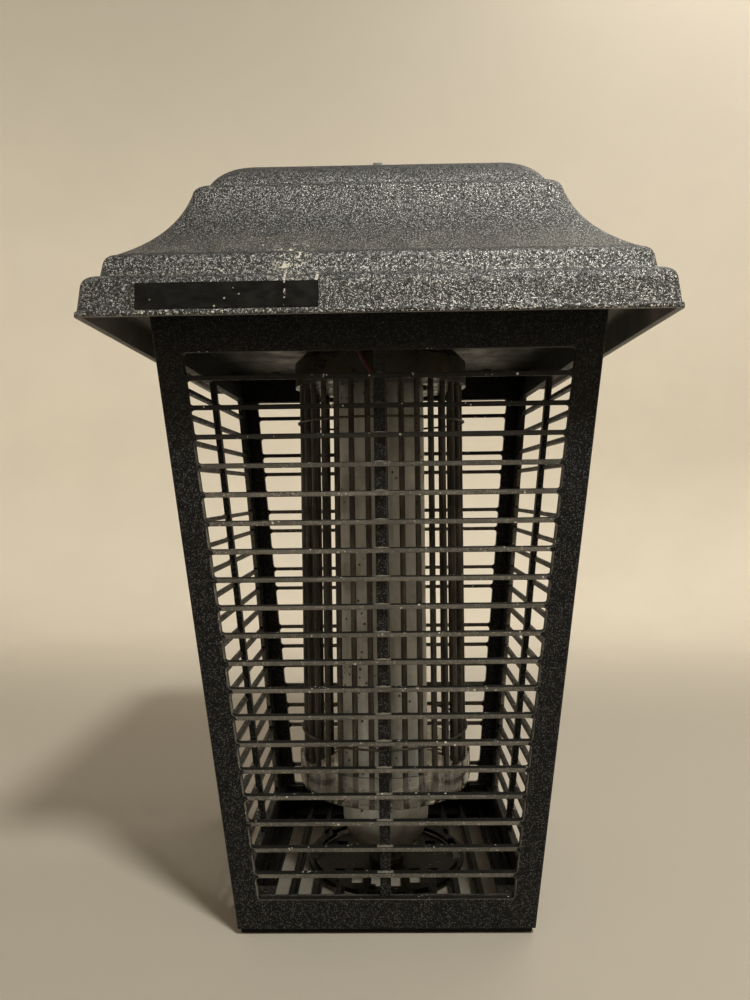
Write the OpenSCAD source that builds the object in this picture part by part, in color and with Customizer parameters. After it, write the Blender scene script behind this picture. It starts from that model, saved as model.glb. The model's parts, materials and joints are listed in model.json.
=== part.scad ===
// Electric bug zapper, lantern style: a tapered cage of four slatted grilles under a flared square roof.
// Inside, a U-shaped black-light lamp stands in a ring of upright rods, live and return in turn.
// Millimetres, +Z up. The origin is on the ground, under the centre of the object.

/* [Housing] */
// Half width of the housing at its lower edge
body_half = 86.4; // [84:0.2:90]
// Height of the housing's lower edge above the ground
body_z = 4; // [4:0.5:4]
// How far each side leans out per millimetre of height
body_flare = 0.1002; // [0.09:0.0002:0.11]
// Height of the top edge of the grilles
body_top = 352; // [352:1:352]
// Thickness of a grille's frame
panel_t = 5; // [4.6:0.2:5.4]
// Width of the post on each side of a grille
post_w = 14.6; // [13:0.2:16]

/* [Slats] */
// Number of slats in each grille
slat_count = 19; // [17:1:19]
// Distance from one slat to the next
slat_pitch = 15.66; // [15:0.02:15.7]
// Height of the lowest slat's middle
slat_first = 36.5; // [35:0.5:38]
// Thickness of a slat
slat_t = 2.7; // [2.2:0.1:3.2]
// Depth of a slat
slat_d = 3.6; // [3:0.2:4.4]
// Width of the upright rib behind the slats
rib_w = 6.2; // [5:0.2:8]
// Radius of the corners between slats and posts
slot_r = 2; // [1:0.25:3]

/* [Roof] */
// Half width of the roof at the lower edge of its skirt
roof_half = 150.3; // [148:0.1:152]
// Height of the skirt's lower edge
roof_z = 344.5; // [344:0.5:345]
// Height of the flat top
roof_top = 447.6; // [447:0.2:448]
// Wall thickness of the roof
roof_wall = 2.6; // [2:0.2:3]
// Top of the hanging eye
eye_top = 480.3; // [476:0.1:484]
// Thickness of the hanging eye
eye_t = 6.3; // [5:0.1:8]
// Radius of the hole in the hanging eye
eye_hole_r = 6; // [4:0.5:6.5]

/* [Grid] */
// Rods in the ring: every second one is live, the others are the return
rod_count = 32; // [24:2:36]
// Radius of a rod
rod_r = 1.8; // [1.5:0.1:2]
// Radius of the ring of rods
ring_r = 53.5; // [53:0.1:53.8]
// Outer radius of the two insulators
insulator_r = 58; // [57.8:0.1:59]

/* [Lamp] */
// Radius of the lamp's glass tube
tube_r = 12.7; // [12:0.1:13]
// Distance from the lamp's middle to the middle of each leg
leg_x = 16.55; // [15:0.05:17]
// Height of the middle of the lamp's U bend
bend_z = 36.5; // [36.5:0.5:40]

/* [Base] */
// Half width of the flange under the housing
flange_half = 84.4; // [82:0.2:85]
// Radius of the opening under the lamp
hatch_r = 47; // [47:0.5:47]
// Distance between the bars of the floor grate
bar_pitch = 14.5; // [14:0.5:15]

/* [Hidden] */
$fn = 64;

eps = 0.02;
lean = atan(body_flare);

// Deck
deck_t = 1.5;
deck_half = 120.5;
deck_z = body_top;
deck_up = deck_z + deck_t;

// Window in each grille, measured up the slope from the lower edge
window_lo = (22.3 - body_z) / cos(lean);
window_hi = (331.8 - body_z) / cos(lean);
panel_len = (body_top - body_z) / cos(lean) + 4;
rib_front = 2;
rib_back = 5.8;

// Base
floor_lo = 4.6;
floor_hi = 7.2;
tray_half = 80.4;
tray_wall = 2.5;
rim_lo = 1;
boss_xy = 72;
boss_r = 4.5;
cleat_lo = 15.7;
cleat_hi = 22;
cleat_t = 3;
screw_r = 1.5;
screw_hole_r = 1.6;
foot_x = 51;
foot_y = 71;
foot_r = 6.5;
hatch_rim_r = 53;
slot_y = 61;

// Bayonet of the lamp cover
cover_r = 46.4;
cover_lo = 1.2;
cover_hi = 3.8;
tab_r = 50;
tab_lo = 7.5;
tab_hi = 9.4;
tab_deg = 24;
notch_deg = 30;
cover_turn = 35;

// Grid and insulators
cup_lo = 58.5;
cup_floor = 4.5;
cup_top = 80;
cap_lo = 327;
cap_floor = 2.6;
cap_shoulder = 343;
insulator_wall = 1.6;
lamp_hole_r = 33;
rod_bottom = 60.4;
rod_turn = 2.7;
live_plate_z = 333;
return_plate_z = 338;
plate_in = 41;
plate_out = 46.6;
plate_t = 1.2;
hoop_r = 0.75;
upper_hoop_z = 303;
lower_hoop_z = 97;
cap_screw_r = 43;

// Lamp
glass_t = 0.8;
leg_top = 336.8;
cap_block_lo = 331;
cap_block_hi = 350;
socket_lo = 350.4;
socket_hi = 372;
pin_x = 8;
pin_y = 5;

// Under the roof
bracket_top = roof_top - roof_wall;
bracket_y = 58;
bracket_w = 20;
bracket_t = 2.5;
transformer_x = -80;
ballast_x = 80;
starter_at = [-42, -86];
pin_circle = 6.35;
capacitor_at = [42, -88];
terminal_y = 88;
grommet_at = [30, 30];
grommet_bore = 3.6;

// ---------------------------------------------------------------- shared shapes

module ring(outer, inner, h) {
    difference() {
        cylinder(r = outer, h = h);
        translate([0, 0, -1]) cylinder(r = inner, h = h + 2);
    }
}

module square_plate(half, z0, z1) {
    translate([-half, -half, z0]) cube([2 * half, 2 * half, z1 - z0]);
}

// A square wall: everything from half - wall out to half
module square_ring(half, wall, z0, z1) {
    difference() {
        square_plate(half, z0, z1);
        square_plate(half - wall, z0 - 1, z1 + 1);
    }
}

// Copies at (+-x, +-y)
module four_corners(x, y) {
    for (sx = [-1, 1], sy = [-1, 1]) translate([sx * x, sy * y, 0]) children();
}

// Round screw with a domed head at z, its shank going down by len (up if len < 0)
module screw(z, r, head_r, head_h, len) {
    if (len > 0) {
        translate([0, 0, z]) cylinder(r1 = head_r, r2 = head_r * 0.7, h = head_h);
        translate([0, 0, z - len]) cylinder(r = r, h = len + eps);
    } else {
        translate([0, 0, z - head_h]) cylinder(r1 = head_r * 0.7, r2 = head_r, h = head_h);
        translate([0, 0, z - eps]) cylinder(r = r, h = eps - len);
    }
}

// ---------------------------------------------------------------- grilles

function side_half(s) = body_half + s * sin(lean);
function opening_half(s) = side_half(s) - post_w;
function slat_s(i) = (slat_first - body_z + i * slat_pitch) / cos(lean);
function slot_lo(i) = i == 0 ? window_lo : slat_s(i - 1) + slat_t / 2;
function slot_hi(i) = i == slat_count ? window_hi : slat_s(i) - slat_t / 2;
function arc(x, y, r, a0, a1, n = 3) =
    [for (k = [0:n]) [x + r * cos(a0 + (a1 - a0) * k / n), y + r * sin(a0 + (a1 - a0) * k / n)]];
function rounded_slot(lo, hi, r) = concat(
    arc(opening_half(lo + r) - r, lo + r, r, -90, 0),
    arc(opening_half(hi - r) - r, hi - r, r, 0, 90),
    arc(r - opening_half(hi - r), hi - r, r, 90, 180),
    arc(r - opening_half(lo + r), lo + r, r, 180, 270));

function face_outline() = [
    [-side_half(-2) - 1, -2], [side_half(-2) + 1, -2],
    [side_half(panel_len) + 1, panel_len], [-side_half(panel_len) - 1, panel_len]];

module panel_sheet(slots) {
    difference() {
        polygon(face_outline());
        for (s = slots) polygon(rounded_slot(s[0], s[1], slot_r));
    }
}

// Lies in the plane of the leaning front face, with depth towards -Z
module on_front_face() {
    translate([0, -body_half, body_z]) rotate([90 + lean, 0, 0]) children();
}

// The quarter of the housing that belongs to the front grille, with 45 degree mitres
module front_quarter() {
    reach = side_half(panel_len) + 20;
    translate([0, 0, body_z]) linear_extrude(body_top - body_z)
        polygon([[0, 0], [-reach, -reach], [reach, -reach]]);
}

deck_screw_x = 70;
deck_screw_in = 118.4;

module grille() {
    difference() {
        intersection() {
            front_quarter();
            on_front_face() {
                translate([0, 0, -slat_d]) linear_extrude(slat_d)
                    panel_sheet([for (i = [0:slat_count]) [slot_lo(i), slot_hi(i)]]);
                translate([0, 0, -panel_t]) linear_extrude(panel_t - slat_d + eps)
                    panel_sheet([[window_lo, window_hi]]);
                translate([-rib_w / 2, window_lo - 2, -rib_back])
                    cube([rib_w, window_hi - window_lo + 4, rib_back - rib_front]);
            }
        }
        for (x = [-deck_screw_x, deck_screw_x])
            translate([x, -deck_screw_in, body_top - 10]) cylinder(r = screw_hole_r, h = 11);
    }
}

module front_grille() { color("#26262a") grille(); }
module rear_grille() { color("#26262a") rotate(180) grille(); }
module left_grille() { color("#26262a") rotate(-90) grille(); }
module right_grille() { color("#26262a") rotate(90) grille(); }

function inner_half(z) = body_half - panel_t / cos(lean) + (z - body_z) * body_flare;

// Everything inside the four leaning grilles, from z0 up to z1
module inside_grilles(z0, z1) {
    intersection_for (turn = [0, 90]) rotate(turn) rotate([90, 0, 0]) translate([0, 0, -120])
        linear_extrude(240) polygon([
            [-inner_half(z0), z0], [inner_half(z0), z0], [inner_half(z1), z1], [-inner_half(z1), z1]]);
}

// Moulded angles that join two grilles at each corner and screw to the bosses of the base
module corner_cleats() {
    reach = boss_xy - boss_r - 1;
    color("#26262a") difference() {
        intersection() {
            inside_grilles(cleat_lo, cleat_hi);
            four_corners(90, 90) translate([reach - 90, reach - 90, 0])
                cube([180 - 2 * reach, 180 - 2 * reach, 40]);
        }
        square_plate(inner_half(cleat_lo) - cleat_t, cleat_lo + cleat_t, cleat_hi + 1);
        four_corners(boss_xy, boss_xy) translate([0, 0, cleat_lo - 1]) cylinder(r = screw_hole_r, h = 5);
    }
}

// ---------------------------------------------------------------- base

// Sector of a ring, centred on angle a
module sector(outer, inner, z0, z1, a, deg) {
    rotate(a - deg / 2) translate([0, 0, z0])
        rotate_extrude(angle = deg) translate([inner, 0]) square([outer - inner, z1 - z0]);
}

module floor_slots() {
    for (side = [-1, 1], i = [0:4])
        translate([side * (i + 0.5) * bar_pitch - 4.6, -slot_y, floor_lo - 1])
            cube([9.2, 2 * slot_y, floor_hi - floor_lo + 2]);
}

module base_frame() {
    color("#1c1c1e") difference() {
        union() {
            square_ring(flange_half, flange_half - tray_half + 1, rim_lo, body_z - 0.1);
            square_ring(tray_half, tray_wall, rim_lo, 11);
            difference() {
                square_plate(tray_half - 1, floor_lo, floor_hi);
                difference() {
                    floor_slots();
                    translate([0, 0, floor_lo - 2]) cylinder(r = hatch_rim_r, h = 8);
                }
            }
            difference() {
                for (i = [-5:5]) translate([i * bar_pitch - 1.2, 1 - tray_half, floor_hi - eps])
                    cube([2.4, 2 * tray_half - 2, 2.2]);
                translate([0, 0, floor_hi - 1]) cylinder(r = hatch_rim_r, h = 5);
            }
            four_corners(boss_xy, boss_xy) translate([0, 0, floor_lo])
                cylinder(r = boss_r, h = cleat_lo - floor_lo);
            for (a = [90, 210, 330], stop = [-tab_deg / 2 - 3, cover_turn + tab_deg / 2 + 3])
                sector(tab_r, hatch_r + 0.5, floor_hi - eps, tab_hi, a + stop, 4);
        }
        translate([0, 0, -1]) cylinder(r = hatch_r, h = 20);
        for (a = [90, 210, 330])
            sector(tab_r + 0.6, hatch_r - 1, floor_lo - 1, floor_hi + 0.1, a + cover_turn, notch_deg);
        four_corners(boss_xy, boss_xy) {
            translate([0, 0, -1]) cylinder(r = screw_hole_r, h = 20);
            translate([0, 0, -1]) cylinder(r = 3.4, h = 6.6);
        }
    }
}

module base_screws() {
    color("#8a8a8c") four_corners(boss_xy, boss_xy) screw(5.6, screw_r, 3, 1.8, -12.5);
}

module rubber_feet() {
    color("#2e2b28") four_corners(foot_x, foot_y) cylinder(r = foot_r, h = floor_lo);
}

module lamp_cover() {
    color("#1c1c1e") {
        difference() {
            translate([0, 0, cover_lo]) cylinder(r = cover_r, h = cover_hi - cover_lo);
            for (i = [-3:2]) {
                x = (i + 0.5) * bar_pitch / 1.15;
                reach = sqrt(pow(cover_r - 7, 2) - x * x);
                for (y0 = [16, -reach]) translate([x - 3.6, y0, cover_lo - 1]) cube([7.2, reach - 16, 5]);
            }
        }
        for (a = [90, 210, 330]) {
            sector(cover_r, cover_r - 2.4, cover_lo, tab_hi, a, tab_deg);
            sector(tab_r, cover_r - 1, tab_lo, tab_hi, a, tab_deg);
        }
    }
}

module lamp_rest_pad() {
    color("#3a3734") translate([0, 0, cover_hi]) cylinder(r = 12, h = 2.9);
}

// ---------------------------------------------------------------- roof

function bezier(p0, p1, p2, n) = [for (k = [0:n]) let (t = k / n)
    (1 - t) * (1 - t) * p0 + 2 * t * (1 - t) * p1 + t * t * p2];

// Half outline, from the lower edge of the skirt up to the middle of the flat top
function roof_outline() = concat(
    [[roof_half, roof_z], [roof_half, roof_z + 2], [roof_half - 0.9, roof_z + 3]],
    bezier([roof_half - 2.2, 359.6], [roof_half - 2.9, 365.4], [roof_half - 8.7, 366.4], 4),
    [[140.6, 367.4]],
    bezier([139.6, 373.4], [139.2, 377.3], [135.8, 378.9], 3),
    bezier([134.6, 379.6], [110.9, 396.6], [103.4, 423.0], 9),
    bezier([103, 424.6], [102.6, 427.3], [97.4, 427.9], 3),
    bezier([96.9, 429], [89.5, 445], [72, roof_top], 6),
    [[0, roof_top]]);

module roof_solid(outline, bottom) {
    half = concat([[outline[0][0], bottom]], outline);
    mirrored = [for (k = [len(half) - 1:-1:0]) [-half[k][0], half[k][1]]];
    intersection_for (turn = [0, 90]) rotate(turn) rotate([90, 0, 0]) translate([0, 0, -roof_half - 2])
        linear_extrude(2 * roof_half + 4) polygon(concat(half, mirrored));
}

module roof() {
    color("#3b3c40") difference() {
        roof_solid(roof_outline(), roof_z - eps);
        roof_solid([for (p = roof_outline()) [max(p[0] - roof_wall, 0), p[1] - roof_wall]], roof_z - 5);
        translate([0, 0, roof_top - 10]) cylinder(r = 4.2, h = 20);
        at(grommet_at) translate([0, 0, roof_top - 10]) cylinder(r = 7, h = 20);
    }
}

module nameplate() {
    color("#151517") translate([-74, -roof_half + 1.15, 354.3]) rotate([-4.6, 0, 0])
        cube([90.4, 0.6, 13], center = true);
}

module cord_grommet() {
    color("#232323") at(grommet_at) rotate_extrude() polygon([
        [grommet_bore, 442.4], [8.6, 442.4], [8.6, bracket_top - eps], [6.9, bracket_top - eps],
        [6.9, roof_top + eps], [9, roof_top + eps], [7.6, 450], [grommet_bore, 450]]);
}

// ---------------------------------------------------------------- hanging hardware

eye_r = 11;
washer_t = 1.5;

module hanging_eye() {
    middle = eye_top - eye_r;
    foot = roof_top + washer_t;
    color("#9a9a98") {
        difference() {
            union() {
                translate([-eye_t / 2, 0, middle]) rotate([0, 90, 0]) cylinder(r = eye_r, h = eye_t);
                translate([-eye_t / 2, -eye_r, foot]) cube([eye_t, 2 * eye_r, middle - foot]);
            }
            translate([-eye_t, 0, middle]) rotate([0, 90, 0]) cylinder(r = eye_hole_r, h = 2 * eye_t);
        }
        translate([0, 0, 434]) cylinder(r = 4, h = foot - 434 + eps);
    }
}

module eye_washer() {
    color("#b5b5b2") translate([0, 0, roof_top]) ring(13, 4.2, washer_t);
}

module eye_nut() {
    color("#b5b5b2") translate([0, 0, bracket_top - bracket_t - 6.5]) difference() {
        cylinder(r = 7.5, h = 6.5, $fn = 6);
        translate([0, 0, -1]) cylinder(r = 4.05, h = 9);
    }
}

module hanger_bracket() {
    color("#a6a6a2") difference() {
        union() {
            translate([-bracket_w / 2, -bracket_y, bracket_top - bracket_t])
                cube([bracket_w, 2 * bracket_y, bracket_t]);
            for (s = [-1, 1]) {
                translate([-bracket_w / 2, s * (bracket_y - bracket_t / 2) - bracket_t / 2, deck_up])
                    cube([bracket_w, bracket_t, bracket_top - deck_up - eps]);
                translate([-bracket_w / 2, s > 0 ? bracket_y - bracket_t : -bracket_y - 14, deck_up])
                    cube([bracket_w, 14 + bracket_t, bracket_t]);
            }
        }
        translate([0, 0, bracket_top - 10]) cylinder(r = 4.2, h = 20);
        for (s = [-1, 1]) translate([0, s * (bracket_y + 8), deck_up - 1]) cylinder(r = 2.1, h = 6);
    }
}

module bracket_screws() {
    color("#b5b5b2") for (s = [-1, 1]) translate([0, s * (bracket_y + 8), 0])
        screw(deck_up + bracket_t, 2, 3.8, 2.4, 8);
}

// ---------------------------------------------------------------- deck

lead_hole = [-14, -63];
black_hole = [12, 34];

module deck_plate() {
    color("#8d8f90") difference() {
        square_plate(deck_half, deck_z, deck_up);
        translate([-34, -17.5, deck_z - 1]) cube([68, 35, 4]);
        for (s = [-1, 1]) {
            translate([0, s * (bracket_y + 8), deck_z - 1]) cylinder(r = 2.1, h = 4);
            for (x = [-deck_screw_x, deck_screw_x], turn = [0, 90])
                rotate(turn) translate([x, s * deck_screw_in, deck_z - 1])
                    cylinder(r = screw_hole_r, h = 4);
        }
        for (p = [lead_hole, black_hole]) translate([p[0], p[1], deck_z - 1]) cylinder(r = 3, h = 4);
        for (a = [45:90:315]) rotate(a) translate([cap_screw_r, 0, deck_z - 1])
            cylinder(r = screw_hole_r, h = 4);
        four_corners(84, 84) translate([0, 0, deck_z - 1]) cylinder(r = 4, h = 4);
    }
}

module deck_screws() {
    color("#b5b5b2") for (turn = [0:90:270], x = [-deck_screw_x, deck_screw_x])
        rotate(turn) translate([x, -deck_screw_in, 0]) screw(deck_up, screw_r, 3.2, 2, 10);
}

// ---------------------------------------------------------------- grid

// Copies round the ring, from the front on: all of them, or with by = 2 every second one
module round_the_ring(first = 0, by = 1) {
    for (k = [first:by:rod_count - 1]) rotate(rod_turn - 90 + k * 360 / rod_count) children();
}

module rod_holes(z0, z1) {
    round_the_ring() translate([ring_r, 0, z0]) cylinder(r = rod_r + 0.1, h = z1 - z0);
}

module upper_insulator() {
    color("#6b5236") difference() {
        rotate_extrude() polygon([
            [lamp_hole_r, cap_lo], [insulator_r, cap_lo], [insulator_r, cap_shoulder], [49, deck_z],
            [39, deck_z], [39, deck_z - 2.5], [48, deck_z - 2.5],
            [insulator_r - insulator_wall, cap_shoulder - 0.8],
            [insulator_r - insulator_wall, cap_lo + cap_floor], [lamp_hole_r, cap_lo + cap_floor]]);
        rod_holes(cap_lo - 1, cap_lo + 4);
        for (a = [45:90:315]) rotate(a) translate([cap_screw_r, 0, deck_z - 5])
            cylinder(r = screw_hole_r, h = 8);
    }
}

module insulator_screws() {
    color("#b5b5b2") for (a = [45:90:315]) rotate(a) translate([cap_screw_r, 0, 0]) {
        screw(deck_z - 2.5, screw_r, 3, 2, -7);
        translate([0, 0, deck_up]) difference() {
            cylinder(r = 3, h = 2.2, $fn = 6);
            translate([0, 0, -1]) cylinder(r = screw_r + 0.02, h = 5);
        }
    }
}

module lower_insulator() {
    color("#8f8d86") difference() {
        rotate_extrude() polygon(concat(
            [[lamp_hole_r, cup_lo], [insulator_r - 6, cup_lo]],
            arc(insulator_r - 6, cup_lo + 6, 6, -75, 0, 5),
            [[insulator_r, cup_top], [insulator_r - insulator_wall, cup_top],
            [insulator_r - insulator_wall, cup_lo + cup_floor], [lamp_hole_r, cup_lo + cup_floor]]));
        rod_holes(rod_bottom - 0.1, cup_lo + cup_floor + 1);
    }
}

module rods(first, top) {
    color("#8e8b83") round_the_ring(first, 2) translate([ring_r, 0, rod_bottom])
        cylinder(r = rod_r, h = top - rod_bottom);
}

// A ring inside the cap, with a tab out to each rod that ends under it
module rod_plate(first, z) {
    color("#9b9a95") translate([0, 0, z]) {
        ring(plate_out, plate_in, plate_t);
        round_the_ring(first, 2) translate([plate_out - 1, -2.4, 0])
            cube([ring_r + rod_r - plate_out + 1, 4.8, plate_t]);
    }
}

module live_rods() { rods(0, live_plate_z); }
module return_rods() { rods(1, return_plate_z); }
module live_rod_plate() { rod_plate(0, live_plate_z); }
module return_rod_plate() { rod_plate(1, return_plate_z); }

module grid_hoop(z) {
    translate([0, 0, z]) rotate_extrude() translate([ring_r + rod_r + hoop_r + 0.05, 0])
        circle(r = hoop_r);
}
module upper_grid_hoop() { color("#9b9a95") grid_hoop(upper_hoop_z); }
module lower_grid_hoop() { color("#9b9a95") grid_hoop(lower_hoop_z); }

// ---------------------------------------------------------------- lamp

// The U: two legs and the half ring that joins them
module u_tube(r, top) {
    for (x = [-leg_x, leg_x]) translate([x, 0, bend_z - eps]) cylinder(r = r, h = top - bend_z + eps);
    translate([0, 0, bend_z]) rotate([90, 0, 0]) rotate(180)
        rotate_extrude(angle = 180) translate([leg_x, 0]) circle(r = r);
}

module lamp_tube() {
    color("#d8d5cc") difference() {
        u_tube(tube_r, leg_top);
        u_tube(tube_r - glass_t, leg_top + 1);
    }
}

module lamp_base() {
    color("#cfccc2") difference() {
        union() {
            translate([-leg_x, -14.6, cap_block_lo]) cube([2 * leg_x, 29.2, cap_block_hi - cap_block_lo]);
            for (x = [-leg_x, leg_x]) translate([x, 0, cap_block_lo])
                cylinder(r = 14.6, h = cap_block_hi - cap_block_lo);
        }
        for (x = [-leg_x, leg_x]) translate([x, 0, cap_block_lo - 1]) cylinder(r = tube_r + 0.05, h = 7);
    }
}

module lamp_pins() {
    color("#b08d4a") four_corners(pin_x, pin_y) translate([0, 0, cap_block_hi]) cylinder(r = 1.2, h = 8);
}

module lamp_socket() {
    color("#d9d6cd") difference() {
        union() {
            translate([-33, -16.5, socket_lo]) cube([66, 33, socket_hi - socket_lo]);
            translate([-43, -19, deck_up]) cube([86, 38, 2.5]);
        }
        four_corners(pin_x, pin_y) translate([0, 0, socket_lo - 1]) cylinder(r = 1.5, h = 11);
        for (x = [-38.5, 38.5]) translate([x, 0, deck_up - 1]) cylinder(r = screw_hole_r, h = 5);
    }
}

module socket_screws() {
    color("#b5b5b2") for (x = [-38.5, 38.5]) translate([x, 0, 0]) screw(deck_up + 2.5, screw_r, 3, 2, 2.4);
}

// ---------------------------------------------------------------- transformer and ballast

// E and I laminations with two windows beside the middle leg; stack is the X thickness
module iron_core(stack, w, h) {
    leg = w / 6;
    difference() {
        translate([-stack / 2, -w / 2, deck_up + 1.2]) cube([stack, w, h]);
        for (s = [-1, 1]) translate([-stack, s * 1.5 * leg - leg / 2, deck_up + 1.2 + leg])
            cube([2 * stack, leg, h - 2 * leg]);
    }
}

function core_mid(h) = deck_up + 1.2 + h / 2;

module bobbin(stack, w, h) {
    leg = w / 6;
    tall = h - 2 * leg - 0.6;
    translate([0, 0, core_mid(h)]) difference() {
        union() {
            for (s = [-1, 1]) translate([0, 0, s * (tall / 2 - 0.6)])
                cube([stack + 20, 4 * leg - 0.6, 1.2], center = true);
            cube([stack + 2.6, 2 * leg + 2.6, tall], center = true);
        }
        cube([stack + 0.4, 2 * leg + 0.4, h], center = true);
    }
}

module coil(stack, w, h) {
    leg = w / 6;
    tall = h - 2 * leg - 3.2;
    translate([0, 0, core_mid(h)]) difference() {
        cube([stack + 18, 4 * leg - 1, tall], center = true);
        cube([stack + 2.8, 2 * leg + 2.8, h], center = true);
    }
}

module core_bracket(w) {
    translate([-9, -w / 2 - 13, deck_up]) difference() {
        cube([18, w + 26, 1.2]);
        for (y = [6, w + 20]) translate([9, y, -1]) cylinder(r = 1.9, h = 4);
    }
}

module core_screws(w) {
    for (s = [-1, 1]) translate([0, s * (w / 2 + 7), 0]) screw(deck_up + 1.2, 1.8, 3.4, 2.2, 1.2);
}

tr = [30, 60, 50];
ba = [24, 54, 42];

module transformer_core() {
    color("#5c5a57") translate([transformer_x, 0, 0]) iron_core(tr[0], tr[1], tr[2]);
}
module transformer_bobbin() {
    color("#d8cfa8") translate([transformer_x, 0, 0]) bobbin(tr[0], tr[1], tr[2]);
}
module transformer_coil() { color("#8a4b2a") translate([transformer_x, 0, 0]) coil(tr[0], tr[1], tr[2]); }
module transformer_bracket() { color("#a6a6a2") translate([transformer_x, 0, 0]) core_bracket(tr[1]); }
module transformer_screws() { color("#b5b5b2") translate([transformer_x, 0, 0]) core_screws(tr[1]); }
module ballast_core() { color("#5c5a57") translate([ballast_x, 0, 0]) iron_core(ba[0], ba[1], ba[2]); }
module ballast_bobbin() { color("#d8cfa8") translate([ballast_x, 0, 0]) bobbin(ba[0], ba[1], ba[2]); }
module ballast_coil() { color("#8a4b2a") translate([ballast_x, 0, 0]) coil(ba[0], ba[1], ba[2]); }
module ballast_bracket() { color("#a6a6a2") translate([ballast_x, 0, 0]) core_bracket(ba[1]); }
module ballast_screws() { color("#b5b5b2") translate([ballast_x, 0, 0]) core_screws(ba[1]); }

// ---------------------------------------------------------------- starter, capacitor and terminals

module at(p) { translate([p[0], p[1], 0]) children(); }

module starter() {
    color("#c9c7c0") at(starter_at) {
        translate([0, 0, 363]) cylinder(r = 10.75, h = 33);
        translate([0, 0, 396 - eps]) cylinder(r1 = 10.75, r2 = 9.2, h = 2);
    }
}

module starter_pins() {
    color("#b08d4a") at(starter_at) for (s = [-1, 1]) translate([s * pin_circle, 0, 0]) {
        translate([0, 0, 357]) cylinder(r = 1.1, h = 6);
        translate([0, 0, 356.6]) cylinder(r = 2.2, h = 2);
    }
}

module starter_socket() {
    color("#dedbd2") at(starter_at) difference() {
        translate([-18, -13.5, deck_up]) cube([36, 27, 9]);
        translate([0, 0, 356]) ring(9.1, 3.6, 3);
        translate([0, 0, 359 - eps]) ring(7.8, 4.9, 5);
    }
}

module capacitor() {
    color("#3d5f86") at(capacitor_at) translate([-19, -8, deck_up]) cube([38, 16, 28]);
}

module capacitor_clamp() {
    color("#a6a6a2") at(capacitor_at) {
        difference() {
            translate([-6, -9.1, deck_up]) cube([12, 18.2, 29.1]);
            translate([-7, -8.05, deck_up - 1]) cube([14, 16.1, 29.05]);
        }
        translate([-6, 9.1 - eps, deck_up]) cube([12, 9, 1]);
    }
}

module terminal_block() {
    color("#e3dfd2") translate([-30, terminal_y - 9, deck_up]) difference() {
        cube([60, 18, 13]);
        for (i = [0:4], y = [5, 13]) translate([6 + 12 * i, y, 6]) cylinder(r = 2.8, h = 8);
    }
}

module terminal_screws() {
    color("#b08d4a") for (i = [0:4], y = [5, 13])
        translate([-24 + 12 * i, terminal_y - 9 + y, deck_up + 6]) cylinder(r = 2.5, h = 3.4);
}

// ---------------------------------------------------------------- leads

function unit(v) = v / norm(v);
// Catmull-Rom curve through hand-picked points, 5 steps a span
function smooth(p) = [for (i = [0:len(p) - 2], k = [0:4]) let (
        t = k / 5, a = p[max(i - 1, 0)], b = p[i], c = p[i + 1], d = p[min(i + 2, len(p) - 1)])
        0.5 * (2 * b + (c - a) * t + (2 * a - 5 * b + 4 * c - d) * t * t
            + (3 * b - a - 3 * c + d) * t * t * t),
    p[len(p) - 1]];

module lead(route, r, sides = 8) {
    p = smooth(route);
    n = len(p);
    tangent = [for (i = [0:n - 1]) unit(p[min(i + 1, n - 1)] - p[max(i - 1, 0)])];
    side = [for (t = tangent) unit(cross(t, [0.31, 0.87, 0.38]))];
    points = [for (i = [0:n - 1], k = [0:sides - 1]) let (a = 360 * k / sides)
        p[i] + r * (cos(a) * side[i] + sin(a) * cross(tangent[i], side[i]))];
    walls = [for (i = [0:n - 2], k = [0:sides - 1], half = [0, 1]) let (
            m = (k + 1) % sides, a = i * sides + k, b = (i + 1) * sides + k,
            c = (i + 1) * sides + m, d = i * sides + m)
        half == 0 ? [a, b, c] : [a, c, d]];
    polyhedron(points, concat([[for (k = [0:sides - 1]) k]], walls,
        [[for (k = [sides - 1:-1:0]) (n - 1) * sides + k]]), convexity = 6);
}

module hv_lead_red() {
    color("#9c2a20") lead([[-62, -21, 378], [-52, -36, 380], [-34, -54, 374], [-18, -62, 364],
        [-14, -63, 353],
        [-13, -61.5, 344], [-9.5, -61.3, 336], [-5, -61.2, 329], [-1, -60.4, 323.5],
        [1.8, -58.7, 319.5], [2.7, -57.3, 316]], 1.6);
}
module hv_lead_black() {
    color("#1d1d1f") lead([[-62, 21, 378], [-46, 32, 384], [-20, 38, 382], [4, 35, 370], [12, 34, 353],
        [12, 35, 346], [13, 40, 341.2]], 1.6);
}
module lamp_lead() {
    color("#dcd9d0") lead([[57, 15, 376], [50, 18, 382], [36, 16, 384], [22, 8, 380], [16, 4, 373]], 1.4);
}
module mains_lead() {
    color("#2a2a2c") lead([[-18, 76, 366], [-26, 62, 376], [-40, 40, 388], [-52, 24, 390],
        [-53.5, 15, 386]], 1.4);
}

// ---------------------------------------------------------------- nodes

front_grille();
rear_grille();
left_grille();
right_grille();
corner_cleats();
base_frame();
base_screws();
rubber_feet();
lamp_cover();
lamp_rest_pad();
roof();
nameplate();
cord_grommet();
hanging_eye();
eye_washer();
eye_nut();
hanger_bracket();
bracket_screws();
deck_plate();
deck_screws();
upper_insulator();
insulator_screws();
lower_insulator();
live_rods();
live_rod_plate();
upper_grid_hoop();
lower_grid_hoop();
return_rods();
return_rod_plate();
lamp_tube();
lamp_base();
lamp_pins();
lamp_socket();
socket_screws();
transformer_core();
transformer_bobbin();
transformer_coil();
transformer_bracket();
transformer_screws();
ballast_core();
ballast_bobbin();
ballast_coil();
ballast_bracket();
ballast_screws();
starter();
starter_pins();
starter_socket();
capacitor();
capacitor_clamp();
terminal_block();
terminal_screws();
hv_lead_red();
hv_lead_black();
lamp_lead();
mains_lead();
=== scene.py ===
import json
import math

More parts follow.
